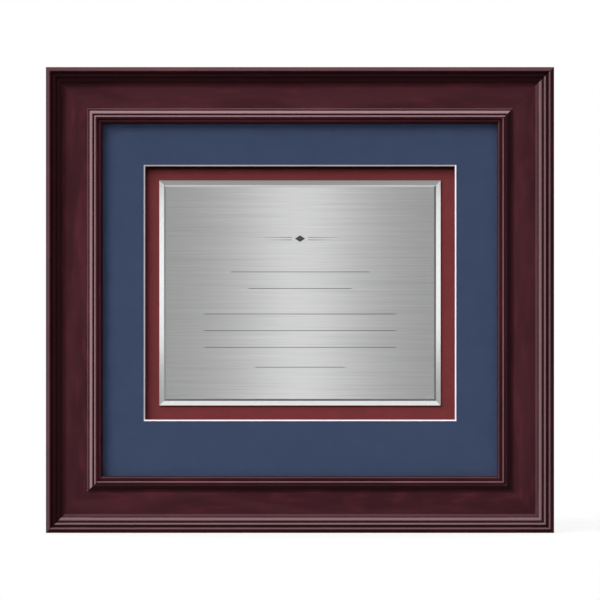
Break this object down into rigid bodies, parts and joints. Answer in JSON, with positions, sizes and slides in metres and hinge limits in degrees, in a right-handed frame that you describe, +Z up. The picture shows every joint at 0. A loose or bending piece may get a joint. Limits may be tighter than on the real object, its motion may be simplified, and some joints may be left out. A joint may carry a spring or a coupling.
{
  "type": "certificate frame",
  "caption": "Mitred reeded wooden frame with a navy mat, red mount board and bevelled metal plate behind glazing, a turn-button back and D-ring hangers.",
  "frame": {"origin": "middle of the frame's back, in the plane of the rails' backs", "axes": "+X to the right seen from the front, +Y from the front towards the wall, +Z up"},
  "size_m": [0.4572, 0.0319, 0.419],
  "materials": {
    "rail_wood": "gloss",
    "navy_board": "matte",
    "red_board": "matte",
    "foam_board": "matte",
    "mounting_tape": "matte",
    "clear_glazing": "polished",
    "polished_plate": "polished",
    "brushed_plate": "satin",
    "hardboard": "matte",
    "nail_steel": "satin",
    "button_steel": "satin",
    "screw_steel": "satin",
    "hanger_steel": "satin",
    "ring_steel": "polished",
    "bumper_rubber": "matte"
  },
  "bodies": {
    "frame": {"top_rail": "rail_wood", "bottom_rail": "rail_wood", "left_rail": "rail_wood", "right_rail": "rail_wood", "corner_v_nails": "nail_steel", "glazing_sheet": "clear_glazing", "navy_mat": "navy_board", "top_lift_strip": "foam_board", "bottom_lift_strip": "foam_board", "left_lift_strip": "foam_board", "right_lift_strip": "foam_board", "red_mount_board": "red_board", "plate_tape_strips": "mounting_tape", "bevelled_base_plate": "polished_plate", "brushed_face_plate": "brushed_plate", "backing_board": "hardboard", "turn_button_screws": "screw_steel", "left_hanger_strap": "hanger_steel", "right_hanger_strap": "hanger_steel", "hanger_screws": "screw_steel", "left_wall_bumper": "bumper_rubber", "right_wall_bumper": "bumper_rubber"},
    "turn_button_top_left": {"turn_button_top_left": "button_steel"},
    "turn_button_top_right": {"turn_button_top_right": "button_steel"},
    "turn_button_bottom_left": {"turn_button_bottom_left": "button_steel"},
    "turn_button_bottom_right": {"turn_button_bottom_right": "button_steel"},
    "turn_button_left_upper": {"turn_button_left_upper": "button_steel"},
    "turn_button_left_lower": {"turn_button_left_lower": "button_steel"},
    "turn_button_right_upper": {"turn_button_right_upper": "button_steel"},
    "turn_button_right_lower": {"turn_button_right_lower": "button_steel"},
    "left_d_ring": {"left_d_ring": "ring_steel"},
    "right_d_ring": {"right_d_ring": "ring_steel"}
  },
  "joints": [
    {"name": "turn_button_top_left_turn", "type": "hinge", "parent": "frame", "child": "turn_button_top_left", "pos_m": [-0.09915, 0.0007, 0.1736], "axis": [0, 1, 0], "continuous": true},
    {"name": "turn_button_top_right_turn", "type": "hinge", "parent": "frame", "child": "turn_button_top_right", "pos_m": [0.09915, 0.0007, 0.1736], "axis": [0, 1, 0], "continuous": true},
    {"name": "turn_button_bottom_left_turn", "type": "hinge", "parent": "frame", "child": "turn_button_bottom_left", "pos_m": [-0.09915, 0.0007, -0.1736], "axis": [0, 1, 0], "continuous": true},
    {"name": "turn_button_bottom_right_turn", "type": "hinge", "parent": "frame", "child": "turn_button_bottom_right", "pos_m": [0.09915, 0.0007, -0.1736], "axis": [0, 1, 0], "continuous": true},
    {"name": "turn_button_left_upper_turn", "type": "hinge", "parent": "frame", "child": "turn_button_left_upper", "pos_m": [-0.19265, 0.0007, 0.0801], "axis": [0, 1, 0], "continuous": true},
    {"name": "turn_button_left_lower_turn", "type": "hinge", "parent": "frame", "child": "turn_button_left_lower", "pos_m": [-0.19265, 0.0007, -0.0801], "axis": [0, 1, 0], "continuous": true},
    {"name": "turn_button_right_upper_turn", "type": "hinge", "parent": "frame", "child": "turn_button_right_upper", "pos_m": [0.19265, 0.0007, 0.0801], "axis": [0, 1, 0], "continuous": true},
    {"name": "turn_button_right_lower_turn", "type": "hinge", "parent": "frame", "child": "turn_button_right_lower", "pos_m": [0.19265, 0.0007, -0.0801], "axis": [0, 1, 0], "continuous": true},
    {"name": "left_d_ring_swing", "type": "hinge", "parent": "frame", "child": "left_d_ring", "pos_m": [-0.20713, 0.0023, 0.1501], "axis": [-1, 0, 0], "range_deg": [0, 178]},
    {"name": "right_d_ring_swing", "type": "hinge", "parent": "frame", "child": "right_d_ring", "pos_m": [0.20713, 0.0023, 0.1501], "axis": [-1, 0, 0], "range_deg": [0, 178]}
  ]
}
